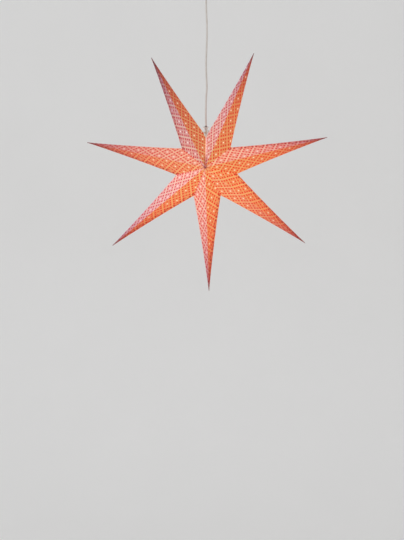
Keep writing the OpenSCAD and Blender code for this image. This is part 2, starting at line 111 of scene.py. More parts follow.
class Board:
    # a material's node tree with a Principled surface
    def __init__(self, name, **constants):
        self.material = bpy.data.materials.new(name)
        self.material.use_nodes = True
        self.tree = self.material.node_tree
        self.surface = self.tree.nodes["Principled BSDF"]
        for socket, value in constants.items():
            self.surface.inputs[socket.replace("_", " ")].default_value = value

    def add(self, kind, settings=None, inputs=(), output=0):
        node = self.tree.nodes.new(kind)
        for key, value in (settings or {}).items():
            if key == "stops":
                ramp = node.color_ramp.elements
                ramp.remove(ramp[1])
                ramp[0].position, ramp[0].color = value[0]
                for place, colour in value[1:]:
                    ramp.new(place).color = colour
            else:
                setattr(node, key, value)
        pairs = inputs.items() if isinstance(inputs, dict) else enumerate(inputs)
        for key, value in pairs:
            self.plug(node.inputs[key], value)
        return Wire(self, node.outputs[output])

    def plug(self, socket, value):
        if isinstance(value, Wire):
            self.tree.links.new(value.socket, socket)
        elif isinstance(value, tuple):
            socket.default_value = value[:len(socket.default_value)]
        else:
            socket.default_value = value

    def feed(self, **sockets):
        for socket, value in sockets.items():
            self.plug(self.surface.inputs[socket.replace("_", " ")], value)

    def parts(self, vector):
        return [self.add("ShaderNodeSeparateXYZ", None, [vector], k) for k in range(3)]

    def mixed(self, mask, under, over):
        return self.add("ShaderNodeMix", {"data_type": "RGBA"}, {0: mask, 6: under, 7: over}, 2)

    def times(self, colour, other):
        return self.add("ShaderNodeVectorMath", {"operation": "MULTIPLY"}, [colour, other])

    def scaled(self, colour, amount):
        return self.add("ShaderNodeVectorMath", {"operation": "SCALE"}, {0: colour, "Scale": amount})

    def place(self, kind="Object"):
        return self.add("ShaderNodeTexCoord", None, (), kind)

    def noise(self, scale, detail, roughness=0.5):
        return self.add("ShaderNodeTexNoise", None,
                        {"Vector": self.place(), "Scale": scale, "Detail": detail,
                         "Roughness": roughness})

    def bump(self, height, distance, strength):
        return self.add("ShaderNodeBump", None,
                        {"Strength": strength, "Distance": distance, "Height": height})


# ---- places and sizes shared by the pieces, as in the model

star = {
    "radius": 375 * mm,
    "notchRadius": 95 * mm,
    "depth": 132 * mm,
    "turn": 1.1,
    "lean": 2.1,
    "gap": 0.8 * mm,
    "drop": 600 * mm,
    "points": 7,
}
halfStep = math.pi / star["points"]
seamAngle = math.radians(90 + star["turn"])
seamX = star["notchRadius"] * math.cos(seamAngle)
starMiddle = Vector((-seamX, 0, -star["drop"]))
tieRise = 12 * mm
stringInset = 4.5 * mm
stringZ = star["notchRadius"] + tieRise - star["drop"]
discZ = stringZ + 16 * mm
holder = {
    "foot": 8 * mm,         # over the star's middle
    "sleeve": 34 * mm,
    "gripFoot": 15 * mm,    # over the sleeve's top
    "grip": 11 * mm,
    "contact": 8 * mm,      # under the sleeve's top
}
sleeveTop = holder["foot"] + holder["sleeve"] - star["drop"]
gripTop = sleeveTop + holder["gripFoot"] + holder["grip"]


def smooth(points, steps):
    # a curve through all the points
    points = [Vector(p) for p in points]
    last = len(points) - 1
    curve = []
    for i in range(last):
        a, b = points[max(i - 1, 0)], points[i]
        c, d = points[i + 1], points[min(i + 2, last)]
        for k in range(steps):
            t = k / steps
            curve.append(0.5 * (2 * b + t * (c - a) + t * t * (2 * a - 5 * b + 4 * c - d)
                                + t ** 3 * (3 * b - a - 3 * c + d)))
    curve.append(points[last])
    return curve


def meshObject(name, vertices, faces):
    mesh = bpy.data.meshes.new(name)
    mesh.from_pydata([tuple(v) for v in vertices], [], faces)
    mesh.update()
    thing = bpy.data.objects.new(name, mesh)
    bpy.context.scene.collection.objects.link(thing)
    return thing


def tube(name, line, radius, sides, material):
    # a round strand along a line. Its UV runs in metres along it, and from 0 to 1 round it
    vertices, faces, uvs = [], [], []
    side = None
    run = 0
    rows = []
    for i, point in enumerate(line):
        heading = (line[min(i + 1, len(line) - 1)] - line[max(i - 1, 0)]).normalized()
        if side is None:
            side = heading.orthogonal().normalized()
        side = (side - heading * side.dot(heading)).normalized()
        other = heading.cross(side)
        if i:
            run += (point - line[i - 1]).length
        thick = radius(i / (len(line) - 1)) if callable(radius) else radius
        rows.append(run)
        for k in range(sides):
            a = 2 * math.pi * k / sides
            vertices.append(point + thick * (math.cos(a) * side + math.sin(a) * other))
    for i in range(len(line) - 1):
        for k in range(sides):
            a, b = i * sides + k, i * sides + (k + 1) % sides
            faces.append((a, b, b + sides, a + sides))
            uvs.append([(rows[i], k / sides), (rows[i], (k + 1) / sides),
                        (rows[i + 1], (k + 1) / sides), (rows[i + 1], k / sides)])
    faces.append(tuple(reversed(range(sides))))
    uvs.append([(0, 0)] * sides)
    faces.append(tuple((len(line) - 1) * sides + k for k in range(sides)))
    uvs.append([(run, 0)] * sides)
    strand = meshObject(name, vertices, faces)
    layer = strand.data.uv_layers.new(name="UVMap")
    flat = [uv for face in uvs for uv in face]
    for loop, uv in zip(layer.data, flat):
        loop.uv = uv
    for face in strand.data.polygons:
        face.use_smooth = len(face.vertices) == 4
    strand.data.materials.append(material)
    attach(strand, "root")
    return strand


# ---- camera

view = {
    "mmPerPixel": 3.03,
    "frame": (404, 540),
    "starAt": (206.6, 167.4),
    "distance": 2.4,
    "around": 3.5,
}


def addCamera():
    camera = bpy.data.objects.new("camera", bpy.data.cameras.new("camera"))
    bpy.context.scene.collection.objects.link(camera)
    around = math.radians(view["around"])
    away = view["distance"]
    camera.location = starMiddle + Vector((away * math.sin(around), -away * math.cos(around), 0))
    camera.rotation_euler = (math.pi / 2, 0, around)
    wide, high = view["frame"]
    lens = camera.data
    lens.sensor_fit = "AUTO"
    lens.sensor_width = 36
    lens.lens = 36 * away / (high * view["mmPerPixel"] * mm)
    lens.shift_x = (wide / 2 - view["starAt"][0]) / high
    lens.shift_y = (view["starAt"][1] - high / 2) / high
    lens.clip_end = 60
    bpy.context.scene.camera = camera


addCamera()
print("camera placed")


# ---- the lead

lead = {
    "thickness": 5.0,
    "colour": srgb(210, 203, 196),
    # slight kinks: to the right, to the back, height over the star's middle, in mm
    "kinks": [(1, 0, 480), (3, 1, 410), (0.5, 0, 320), (1.5, -1, 275), (2.5, 0, 240),
              (0.5, 1, 210), (-0.5, 0, 160)],
}


def leadSleeve():
    board = Board("lead_sleeve", Roughness=0.42)
    length, around = board.parts(board.place("UV"))[:2]
    dirt = board.noise(55, 4)
    grain = board.noise(900, 2)
    colour = board.mixed(dirt.fade(0.35, 0.75), lead["colour"], srgb(200, 191, 182))
    # the twisted strands: a bump, and painted shade in the grooves between them
    core = abs((around * 2 * math.pi * 2 + length * 70).maths("SINE"))
    colour = board.mixed(core.fade(0.0, 0.25, 0.22, 0.0), colour, srgb(176, 168, 160))
    board.feed(Base_Color=colour, Roughness=0.34 + 0.2 * dirt,
               Normal=board.bump(core * 0.6 + grain * 0.2, 0.0004, 0.35))
    return board.material


def addLead():
    top = [(0, 0, -14), (0, 0, -40), (0, 0, -75)]
    low = [(0, 0, discZ / mm + 6), (0, 0, stringZ / mm - 6), (0, 0, gripTop / mm),
           (0, 0, gripTop / mm - 22)]
    kinks = [(x, y, z - star["drop"] / mm) for x, y, z in lead["kinks"]]
    line = [p * mm for p in smooth(top + kinks + low, 6)]
    line.reverse()
    radius = lead["thickness"] / 2 * mm
    sleeve = tube("lead", line, radius, 20, leadSleeve())
    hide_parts("cord")
    length = sum((b - a).length for a, b in zip(line, line[1:]))
    2 * radius
    print("lead", round(length, 3), "m")


addLead()


# ---- the card and its print

card = {
    "thickness": 0.35 * mm,
    "grid": 8 * mm,
    "waist": 0.17,        # how far a point's sides draw in towards its tip
    "bow": 0.9 * mm,      # how far a panel bows between its folds
    "finWidth": 8 * mm,
    "flapWidth": 12 * mm,
    "middleOpening": 0.2 * mm,
    "holeSize": 3 * mm,
    "holePitch": 31.3 * mm,
    "holeTurn": 32.7,
    "holeAlong": 52.4 * mm,
    "holeAside": 15.2 * mm,
    "holeRim": 1.2 * mm,
    # painted lit colour, with the lamp light falling off from the middle to the tip, on the warm side and
    # on the side of a point where painted cool light falls
    "warm": [(0.0, srgb(250, 157, 96)), (0.3, srgb(252, 147, 84)), (0.55, srgb(246, 130, 73)),
             (0.78, srgb(217, 102, 64)), (0.9, srgb(188, 80, 58)), (1.0, srgb(126, 54, 52))],
    "cool": [(0.0, srgb(250, 174, 155)), (0.3, srgb(250, 175, 165)), (0.55, srgb(238, 162, 160)),
             (0.78, srgb(210, 136, 144)), (0.9, srgb(184, 114, 126)), (1.0, srgb(128, 68, 84))],
    # the print's tints, and their tints where painted cool light falls
    "bandTint": (1.08, 1.7, 1.9, 1),
    "bandTintCool": (1.1, 1.65, 1.5, 1),
    "dotTint": (0.98, 0.06, 0.08, 1),
    "dotTintCool": (0.82, 0.05, 0.18, 1),
    "paleTint": (1.06, 1.4, 1.7, 1),
    # painted shade of the glued flap behind the card, and the shadow of its print
    "flapShadowTint": (0.88, 0.66, 0.62, 1),
    "flapBandTint": (1.0, 1.1, 1.1, 1),
    "flapDotTint": (0.5, 0.26, 0.4, 1),
    # painted highlight along the folds and the point's edges
    "foldHighlightTint": (1.06, 1.3, 1.35, 1),
    # painted shadow of the glue fins near the middle
    "finShadowTint": (0.2, 0.12, 0.34, 1),
    "seamTint": (1.4, 2.2, 2.8, 1),
    "holeGlow": srgb(255, 222, 200),
    "seamShade": (0.6, 0.42, 0.55, 1),
    "share": 0.36,        # how much of the lit colour is the card's own, the rest being lamp light
    "lampLevel": 1.0,
    "tipWidth": 1.5 * mm,
}


def pointTip(lean):
    return star["radius"] * Vector((math.cos(lean), 0, math.sin(lean)))


def notchAt(side):
    return star["notchRadius"] * Vector((math.cos(halfStep), 0, side * math.sin(halfStep)))


def tipAngle(lean, side):
    # angle at the tip between the fold and an edge of its panel
    tip = pointTip(lean)
    pole = (Vector((0, -star["depth"] / 2, 0)) - tip).normalized()
    notch = (notchAt(side) - tip).normalized()
    return math.acos(pole.dot(notch))


def valleyWay():
    # direction of the valley on the flat sheet, from the middle to the notch
    wide = tipAngle(0, 1)
    fold = math.hypot(star["radius"], star["depth"] / 2)
    edge = (notchAt(1) - pointTip(0)).length
    u, v = fold - edge * math.cos(wide), edge * math.sin(wide)
    return u / math.hypot(u, v), v / math.hypot(u, v)


def printAt(board, along, aside):
    # masks of the print at a place on the flat sheet: bands, dots, the paler ground round a hole,
    # and the hole's rim
    turn = math.radians(card["holeTurn"])
    x = (along - card["holeAlong"]) / card["holePitch"]
    y = (aside - card["holeAside"]) / card["holePitch"]

    def fromCell(value):
        return abs((value + 0.5).maths("FLOORED_MODULO", 1.0) - 0.5)
    across = fromCell(x * math.cos(turn) - y * math.sin(turn))
    down = fromCell(x * math.sin(turn) + y * math.cos(turn))
    bandA, bandB = across.fade(0.435, 0.458), down.fade(0.445, 0.464, 0.0, 0.85)
    bands = bandA.most(bandB) * (1 - 0.6 * bandA * bandB)
    x, y = across - 0.32, down - 0.32
    corner = (x * x + y * y).root().fade(0.08, 0.106, 1.0, 0.0)
    sideDot = (across * across + y * y).least(down * down + x * x).root().fade(0.068, 0.094, 1.0, 0.0)
    toHole = (across * across + down * down).root()
    pale, rim = toHole.fade(0.08, 0.22, 1.0, 0.0), toHole.fade(0.055, 0.095, 1.0, 0.0)
    return bands, corner.most(sideDot), pale, rim


def cardMaterial():
    board = Board("printed_card", Roughness=0.62)
    along, aside = board.parts(board.place("UV"))[:2]
    fold = math.hypot(star["radius"], star["depth"] / 2)
    wide = tipAngle(0, 1)
    short = fold - along
    reach = (short * short + aside * aside).root()
    far = 1 - reach / fold

    def turnedBy(angle):
        # the same place with the flat sheet turned about the tip
        return (short * math.cos(angle) + aside * math.sin(angle),
                aside * math.cos(angle) - short * math.sin(angle))

    # each panel measured from its own fold: the back ones turned to lie over the front ones
    back = (aside * math.cos(wide) + short * math.sin(wide)).fade(-0.05 * mm, 0.05 * mm, 1.0, 0.0)
    shortBack, asideBack = turnedBy(-2 * wide)
    shortIn = short + back * (shortBack - short)
    asideIn = abs(aside + back * (asideBack - aside))
    foldLine = asideIn.fade(0.3 * mm, 0.9 * mm, 1.0, 0.0)
    edgeLine = (shortIn * math.sin(wide) - asideIn * math.cos(wide)).fade(0.2 * mm, 0.8 * mm, 1.0, 0.0)
    valleyU, valleyV = valleyWay()
    fromPole = fold - shortIn
    valley = abs(fromPole * valleyV - asideIn * valleyU)
    nearPole = (fromPole * fromPole + asideIn * asideIn).root()

    # the flap of the back panel, glued inside the front one, is painted as shade in the lamp light, with
    # the shadow of its own print
    flap = (short * math.sin(wide) - aside * math.cos(wide)).fade(card["flapWidth"] - 0.5 * mm,
                                                                 card["flapWidth"], 1.0, 0.0)
    shortFlap, asideFlap = turnedBy(4 * wide)
    bands, dots, pale, rim = printAt(board, along, aside)
    bandsUnder, dotsUnder = printAt(board, fold - shortFlap, asideFlap)[:2]

    # painted cool light that turns panels pink, the lamp light reaching each place, the seam side, and in
    # alpha the punched holes
    lit = board.add("ShaderNodeAttribute", {"attribute_name": "lampLight"}, (), "Color")
    paintedCoolLight, dim, seamSide = board.parts(lit)
    punched = board.add("ShaderNodeAttribute", {"attribute_name": "lampLight"}, (), "Alpha")
    warm = board.add("ShaderNodeValToRGB", {"stops": card["warm"]}, [far])
    cool = board.add("ShaderNodeValToRGB", {"stops": card["cool"]}, [far])
    ground = board.mixed(paintedCoolLight, warm, cool)
    fibre = board.noise(700, 5, 0.7)
    blotch = board.noise(26, 3)

    tint = board.mixed(pale, (1, 1, 1, 1), card["paleTint"])
    tint = board.mixed(bands, tint, board.mixed(paintedCoolLight, card["bandTint"], card["bandTintCool"]))
    tint = board.mixed(dots, tint, board.mixed(paintedCoolLight, card["dotTint"], card["dotTintCool"]))
    under = board.mixed(bandsUnder * 0.7, card["flapShadowTint"], card["flapBandTint"])
    under = board.mixed(dotsUnder * 0.85, under, card["flapDotTint"])
    tint = board.mixed(flap, tint, board.times(tint, under))
    # painted highlight along the folds and the point's edges
    tint = board.mixed((foldLine * 0.5).most(edgeLine * 0.35), tint, card["foldHighlightTint"])
    height = board.parts(board.place())[2] - starMiddle.z
    # painted shadow of the glue fins inside the valleys near the middle, stronger higher up, and a dark
    # painted spot where the points meet
    finShadow = valley.fade(0.7 * mm, 2.0 * mm, 1.0, 0.0) * nearPole.fade(8 * mm, 20 * mm, 0.9, 0.0)
    finShadow = finShadow * height.fade(-10 * mm, 6 * mm, 0.4, 1.0)
    finShadow = (finShadow * (1 - seamSide)).most(nearPole.fade(2.2 * mm, 4.2 * mm, 1.0, 0.0))
    tint = board.mixed(finShadow, tint, card["finShadowTint"])
    # less light low down beside the seam, and at the foot of the folds next to it
    low = valley.fade(2 * mm, 9 * mm, 0.8, 0.0) * nearPole.fade(18 * mm, 60 * mm, 1.0, 0.0)
    low = low.most(asideIn.fade(0.6 * mm, 2.4 * mm, 1.0, 0.0) * nearPole.fade(9 * mm, 18 * mm, 1.0, 0.0))
    tint = board.mixed(low * seamSide, tint, board.times(tint, card["seamShade"]))
    seamGlow = valley.fade(1.0 * mm, 2.6 * mm, 1.0, 0.0) * nearPole.fade(22 * mm, 70 * mm) * seamSide
    tint = board.mixed(seamGlow, tint, card["seamTint"])
    colour = board.times(ground, tint)
    colour = board.scaled(colour, dim * (0.92 + 0.13 * fibre) * (0.94 + 0.12 * blotch))
    colour = board.mixed(rim * punched.fade(0.1, 0.5, 0.0, 0.6), colour, card["holeGlow"])
    board.feed(Base_Color=board.scaled(colour, card["share"]),
               Emission_Color=board.scaled(colour, 1 - card["share"]),
               Emission_Strength=card["lampLevel"],
               Roughness=0.5 + 0.16 * bands + 0.1 * fibre,
               Normal=board.bump(fibre + foldLine * 2, 0.00012, 0.4))
    return board.material


def poleShade(board):
    # the many glued layers let no light through where the points meet
    x, y, z = board.parts(board.place())
    y, z = abs(y) - star["depth"] / 2, z - starMiddle.z
    return (x * x + y * y + z * z).root().fade(5 * mm, 13 * mm, 0.06, 1.0)


def insideMaterial():
    # the white back of the card, in the lamp's full light, which falls off towards the tips
    board = Board("card_back", Roughness=0.8)
    fibre = board.noise(600, 4)
    x, y, z = board.parts(board.place())
    z = z - starMiddle.z
    away = (x * x + y * y + z * z).root()
    colour = board.mixed(away.fade(60 * mm, 330 * mm), srgb(255, 242, 224), srgb(244, 204, 178))
    colour = board.mixed(fibre * 0.2, colour, srgb(240, 196, 160))
    shade = poleShade(board)
    colour = board.mixed(shade, srgb(120, 52, 48), colour)
    board.feed(Base_Color=board.scaled(colour, 0.35), Emission_Color=board.scaled(colour, 0.9 * shade),
               Emission_Strength=1.0, Normal=board.bump(fibre, 0.0001, 0.3))
    return board.material


def rimMaterial():
    # cut edges of the card, coloured and lit by painted lamp light, with painted shade near the middle
    board = Board("card_edge", Roughness=0.8)
    fibre = board.noise(900, 3)
    colour = board.mixed(fibre, srgb(226, 150, 108), srgb(240, 176, 130))
    shade = poleShade(board)
    colour = board.mixed(shade, srgb(120, 52, 48), colour)
    board.feed(Base_Color=board.scaled(colour, 0.5), Emission_Color=board.scaled(colour, 0.4 * shade),
               Emission_Strength=1.0, Normal=board.bump(fibre, 0.0001, 0.3))
    return board.material


class Sheet:
    # one folded sheet, in the point's own frame: tip along +X, front at -Y, glued flap at the +Z edge.
    # On the flat sheet, u runs along the front fold from the star's middle, and v across it
    def __init__(self, lean):
        self.lean = lean
        self.tip = pointTip(lean)
        self.fold = (Vector((0, -star["depth"] / 2, 0)) - self.tip).length
        self.up, self.down = tipAngle(lean, 1), tipAngle(lean, -1)
        self.points, self.edges, self.rings, self.holes = [], [], [], []

    def panel(self, turn):
        # depth side, edge side, and angle from the panel's fold
        if turn < 0:
            return -1, 1, -turn
        if turn <= self.down:
            return -1, -1, turn
        if turn < 2 * self.down:
            return 1, -1, 2 * self.down - turn
        return 1, 1, turn - 2 * self.down

    def frame(self, deep, side):
        pole = Vector((0, deep * star["depth"] / 2, 0))
        ex = (pole - self.tip).normalized()
        ey = notchAt(side) - self.tip
        ey = (ey - ex * ey.dot(ex)).normalized()
        out = ex.cross(ey)
        if out.y * deep < 0:
            out.negate()
        return ex, ey, out

    def polar(self, u, v):
        return math.hypot(self.fold - u, v), math.atan2(-v, self.fold - u)

    def lift(self, u, v, index):
        # a place on the flat sheet, folded up
        reach, turn = self.polar(u, v)
        deep, side, angle = self.panel(turn)
        ex, ey, out = self.frame(deep, side)
        place = self.tip + reach * (math.cos(angle) * ex + math.sin(angle) * ey)
        width = self.up if side > 0 else self.down
        swell = math.sin(math.pi * min(max(angle / width, 0), 1))
        swell *= math.sin(math.pi * min(reach / self.fold, 1))
        sign = 1 if (index * 3 + deep + 2 * side) % 4 < 2 else -1
        place = place + out * card["bow"] * swell * (0.5 * sign - 0.5)
        base = notchAt(1).x
        s = min(max((place.x - base) / (star["radius"] - base), 0), 1)
        axis = self.tip * (place.x / self.tip.x)
        draw = 1 - card["waist"] * s ** 0.8
        # the last stretch stays as thick as its layers of card
        taper = max(star["radius"] - place.x, 1e-6) * math.tan(self.up)
        draw *= min(math.hypot(1, card["tipWidth"] / taper), 4)
        return axis + (place - axis) * draw

    def flat(self, place, deep, side):
        # where a point of a panel lies on the flat sheet
        ex = self.frame(deep, side)[0]
        arm = place - self.tip
        angle = math.acos(max(-1, min(1, arm.normalized().dot(ex))))
        turn = {(-1, 1): -angle, (-1, -1): angle, (1, -1): 2 * self.down - angle,
                (1, 1): 2 * self.down + angle}[(deep, side)]
        return self.fold - arm.length * math.cos(turn), -arm.length * math.sin(turn)

    def at(self, reach, turn):
        return self.fold - reach * math.cos(turn), -reach * math.sin(turn)

    def drilled(self, centre, along, radius, deep, side, start, end, count):
        # where a drill along a line meets a panel, from angle start to end round the drill
        out = self.frame(deep, side)[2]
        level = out.dot(self.tip)
        one = along.orthogonal().normalized()
        if abs(along.y) < 0.5:
            one = Vector((0, 1, 0)).cross(along).normalized()
        two = along.cross(one)
        marks = []
        for k in range(count + 1):
            a = start + (end - start) * k / count
            place = centre + radius * (math.cos(a) * one + math.sin(a) * two)
            place = place + along * ((level - out.dot(place)) / out.dot(along))
            marks.append(self.flat(place, deep, side))
        return marks

    def stroke(self, marks):
        # a line of joined points, with more of them where it is long
        line = [marks[0]]
        for a, b in zip(marks, marks[1:]):
            steps = max(1, round(math.dist(a, b) / card["grid"]))
            for k in range(1, steps + 1):
                line.append((a[0] + (b[0] - a[0]) * k / steps, a[1] + (b[1] - a[1]) * k / steps))
        ids = [self.mark(p) for p in line]
        self.edges += [(a, b) for a, b in zip(ids, ids[1:]) if a != b]

    def mark(self, p):
        for i, q in enumerate(self.points):
            if math.dist(p, q) < 1e-5:
                return i
        self.points.append(p)
        return len(self.points) - 1

    def ring(self, marks):
        first = len(self.points)
        self.points += marks
        ids = list(range(first, first + len(marks)))
        self.edges += list(zip(ids, ids[1:] + ids[:1]))
        self.rings.append(set(ids))
        self.holes.append((sum(p[0] for p in marks) / len(marks), sum(p[1] for p in marks) / len(marks)))

    def roomAtValley(self, reach, angle, side):
        width = self.up if side > 0 else self.down
        length = (notchAt(side) - self.tip).length
        run = Vector((length * math.cos(width) - self.fold, length * math.sin(width))).normalized()
        away = Vector((self.fold - reach * math.cos(angle), -reach * math.sin(angle)))
        return away.dot(Vector((run.y, -run.x)))

    def roomAround(self, u, v):
        # room to the nearest fold, edge and valley, and to the edge with the flap
        reach, turn = self.polar(u, v)
        if not -self.up < turn < 2 * self.down + self.up:
            return -1, -1
        deep, side, angle = self.panel(turn)
        width = self.up if side > 0 else self.down
        edge = reach * math.sin(width - angle)
        room = min(reach * math.sin(angle), edge, self.roomAtValley(reach, angle, side) - 1 * mm)
        return room, edge - card["flapWidth"] if deep < 0 and side > 0 else room


def inside(p, outline):
    hit = False
    for (ax, ay), (bx, by) in zip(outline, outline[1:] + outline[:1]):
        if (ay > p[1]) != (by > p[1]) and p[0] < (bx - ax) * (p[1] - ay) / (by - ay) + ax:
            hit = not hit
    return hit


# each point in its order round the star: how much lamp light reaches it, how much less at its tip, and how
# much painted cool light turns its panels pink on the side before the fold and on the side after it
pointLooks = {
    "point_top_left": (0.82, 0.26, 0.05, 1.0),
    "point_left": (0.97, 0.08, 0.5, 0.1),
    "point_lower_left": (1.02, 0.0, 1.0, 0.0),
    "point_bottom": (1.01, 0.0, 0.68, 0.0),
    "point_lower_right": (1.01, 0.0, 0.12, 0.0),
    "point_right": (0.98, 0.0, 0.0, 0.55),
    "point_top_right": (0.89, 0.06, 0.0, 0.95),
}


def addPoint(index, name, materials):
    light, loss, coolLightBefore, coolLightAfter = pointLooks[name]
    # the two top points lie beside the seam, and the right one is turned over and leans
    turned = name == "point_top_right"
    seam = turned or name == "point_top_left"
    sheet = Sheet(-math.radians(star["lean"]) if turned else 0.0)
    theta = seamAngle + (2 * index + 1) * halfStep
    up = Vector((math.sin(theta), 0, math.cos(theta)))
    if turned:
        up.z = -up.z
    tipMark = (sheet.fold, 0.0)
    edgeLong = (notchAt(1) - sheet.tip).length
    edgeShort = (notchAt(-1) - sheet.tip).length
    opening = card["middleOpening"]

    def towards(a, b, distance):
        length = math.dist(a, b)
        return (a[0] + (b[0] - a[0]) * distance / length, a[1] + (b[1] - a[1]) * distance / length)

    notchFront = sheet.at(edgeLong, -sheet.up)
    notchSide = sheet.at(edgeShort, sheet.down)
    notchBack = sheet.at(edgeLong, 2 * sheet.down + sheet.up)
    poleFront = (0.0, 0.0)
    poleBack = sheet.at(sheet.fold, 2 * sheet.down)
    sideMarks = [notchSide]
    if seam:
        notch = notchAt(-1)
        quarter = math.pi / 2
        beside = Vector((0, 1, 0)).cross(up).normalized()
        # the side of the drill that lies towards this point
        start = 0 if beside.dot(sheet.tip - notch) > 0 else math.pi
        turnTo = -1 if up.cross(beside).y > 0 else 1
        if start:
            turnTo = -turnTo
        front = sheet.drilled(notch, up, 5 * mm, -1, -1, start + turnTo * quarter, start, 8)
        back = sheet.drilled(notch, up, 5 * mm, 1, -1, start, start - turnTo * quarter, 8)
        sideMarks = front + back[1:]
    outline = [tipMark, notchFront, towards(poleFront, notchFront, opening),
               towards(poleFront, tipMark, opening),
               towards(poleFront, notchSide, opening)] + sideMarks + [
               towards(poleBack, notchSide, opening), towards(poleBack, tipMark, opening),
               towards(poleBack, notchBack, opening), notchBack, tipMark]
    nearTip = 2.5 * mm
    outline[1:1] = [towards(tipMark, notchFront, nearTip)]
    outline[-1:-1] = [towards(tipMark, notchBack, nearTip)]
    sheet.stroke(outline)
    corner = sideMarks[len(sideMarks) // 2]
    for end in (towards(poleFront, tipMark, opening), corner, towards(poleBack, tipMark, opening)):
        sheet.stroke([tipMark, towards(tipMark, end, nearTip), end])

    # string holes beside the seam
    if seam:
        side = 1 if turned else -1
        edgeAt = seamEdge(side, star["notchRadius"] + tieRise) + side * stringInset
        world = Vector((edgeAt, 0, star["notchRadius"] + tieRise))
        local = Vector((world.x * math.cos(theta) + world.z * math.sin(theta), 0,
                        world.z * math.cos(theta) - world.x * math.sin(theta)))
        if turned:
            local.z = -local.z
        for deep in (-1, 1):
            marks = sheet.drilled(local, Vector((0, 1, 0)), 1.3 * mm, deep, -1, 0, 2 * math.pi, 14)
            sheet.ring(marks[:-1])

    # light holes, in the rows of the print
    stringHoles = list(sheet.holes)
    turn, pitch = math.radians(card["holeTurn"]), card["holePitch"]
    rows = math.ceil(star["radius"] / pitch) + 2
    clear = card["holeSize"] / 2 + card["holeRim"]
    for i in range(-rows, rows + 1):
        for j in range(-rows, rows + 1):
            u = card["holeAlong"] + pitch * (i * math.cos(turn) + j * math.sin(turn))
            v = card["holeAside"] + pitch * (j * math.cos(turn) - i * math.sin(turn))
            room, flapRoom = sheet.roomAround(u, v)
            if room > clear and flapRoom > (clear if room != flapRoom else 0) and \
                    all(math.dist((u, v), hole) > 5 * mm for hole in stringHoles):
                sheet.ring([(u + card["holeSize"] / 2 * math.cos(2 * math.pi * k / 14),
                             v + card["holeSize"] / 2 * math.sin(2 * math.pi * k / 14)) for k in range(14)])

    # loose points between, so that the panels can bow
    step = card["grid"]
    for i in range(int(sheet.fold / step) + 1):
        for j in range(-int(sheet.fold / step), int(sheet.fold / step) + 1):
            u, v = (i + 0.5 * (j % 2)) * step, j * step * 0.87
            if sheet.roomAround(u, v)[0] > 2.4 * mm and inside((u, v), outline) and \
                    all(math.dist((u, v), hole) > 3.6 * mm for hole in sheet.holes):
                sheet.points.append((u, v))

    made = geometry.delaunay_2d_cdt([Vector(p) for p in sheet.points], sheet.edges, [], 0, 1e-7, True)
    flatPoints, faces, origin = made[0], made[2], made[3]
    rings = [{k for k, source in enumerate(origin) if set(source) & ring} for ring in sheet.rings]
    punched = set().union(*rings[len(stringHoles):])
    kept = []
    for face in faces:
        middle = (sum(flatPoints[k][0] for k in face) / 3, sum(flatPoints[k][1] for k in face) / 3)
        if inside(middle, outline) and not any(set(face) <= ring for ring in rings):
            kept.append(tuple(face))

    seamWay = Vector((math.cos(seamAngle), 0, math.sin(seamAngle)))
    seamSide = Vector((-seamWay.z, 0, seamWay.x)) * (-1 if turned else 1)

    def placed(p):
        # from the point's own frame to the star, and to where the star hangs
        if turned:
            p = Vector((p.x, -p.y, -p.z))
        p = Vector((p.x * math.cos(theta) - p.z * math.sin(theta), p.y,
                    p.x * math.sin(theta) + p.z * math.cos(theta)))
        if seam:
            # the gap closes towards the poles
            off = p.dot(seamSide)
            half = min(star["gap"] / 2, 0.04 * mm + 0.018 * math.hypot(p.x, p.z))
            if off < half:
                p = p + seamSide * (half - off)
        return p + starMiddle

    vertices = [placed(sheet.lift(p[0], p[1], index)) for p in flatPoints]
    uvs = [(p[0], p[1]) for p in flatPoints]

    # glue fins inside the valleys, and the glued flap inside the front panel
    finFaces = []
    run = star["notchRadius"]
    for side in (-1, 1):
        gap = star["gap"] / 2 if seam and side < 0 else 0
        inwards = Vector((math.sin(halfStep), 0, -side * math.cos(halfStep)))
        for deep in (-1, 1):
            pole = Vector((0, deep * star["depth"] / 2, 0))
            notch = notchAt(side)
            line = (notch - pole).normalized()
            radial = Vector((notch.x, 0, notch.z)).normalized()
            inner = (-pole * (1 / (star["depth"] / 2) ** 2) - radial / run).normalized()
            inner = (inner - line * inner.dot(line)).normalized()
            length = (notch - pole).length
            last = length - (13 * mm if seam and side < 0 else 3 * mm)
            for k in range(8):
                a = 9 * mm + (last - 9 * mm) * k / 8
                b = 9 * mm + (last - 9 * mm) * (k + 1) / 8
                near, far = inner * 0.4 * mm, inner * card["finWidth"]
                corners = [pole + line * a + near, pole + line * b + near,
                           pole + line * b + far, pole + line * a + far]
                first = len(vertices)
                vertices += [placed(c + inwards * (gap + 0.25 * mm)) for c in corners]
                uvs += [(0, 0)] * 4
                finFaces.append(tuple(range(first, first + 4)))
    # the flap of the back panel, glued inside the front one along the point's edge
    rows = []
    for k in range(25):
        reach = 22 * mm + (edgeLong - 24 * mm) * k / 24
        inner = min(math.asin(min(card["flapWidth"] / reach, 1)), sheet.up * 0.96)
        row = []
        for part in (0.02, 0.5, 1.0):
            mark = sheet.at(reach, -sheet.up + inner * part)
            out = sheet.frame(-1, 1)[2]
            row.append(len(vertices))
            vertices.append(placed(sheet.lift(*mark, index) - out * 0.45 * mm))
            uvs.append(mark)
        rows.append(row)
    for low, high in zip(rows, rows[1:]):
        for a, b in ((0, 1), (1, 2)):
            finFaces.append((low[a], low[b], high[b], high[a]))
    axis = (placed(sheet.tip) - starMiddle).normalized()

    def outwards(face):
        middle = sum((vertices[k] for k in face), Vector()) / len(face) - starMiddle
        return middle - axis * middle.dot(axis)

    def facing(face):
        a, b, c = (vertices[k] for k in face[:3])
        return (b - a).cross(c - a).dot(outwards(face)) > 0

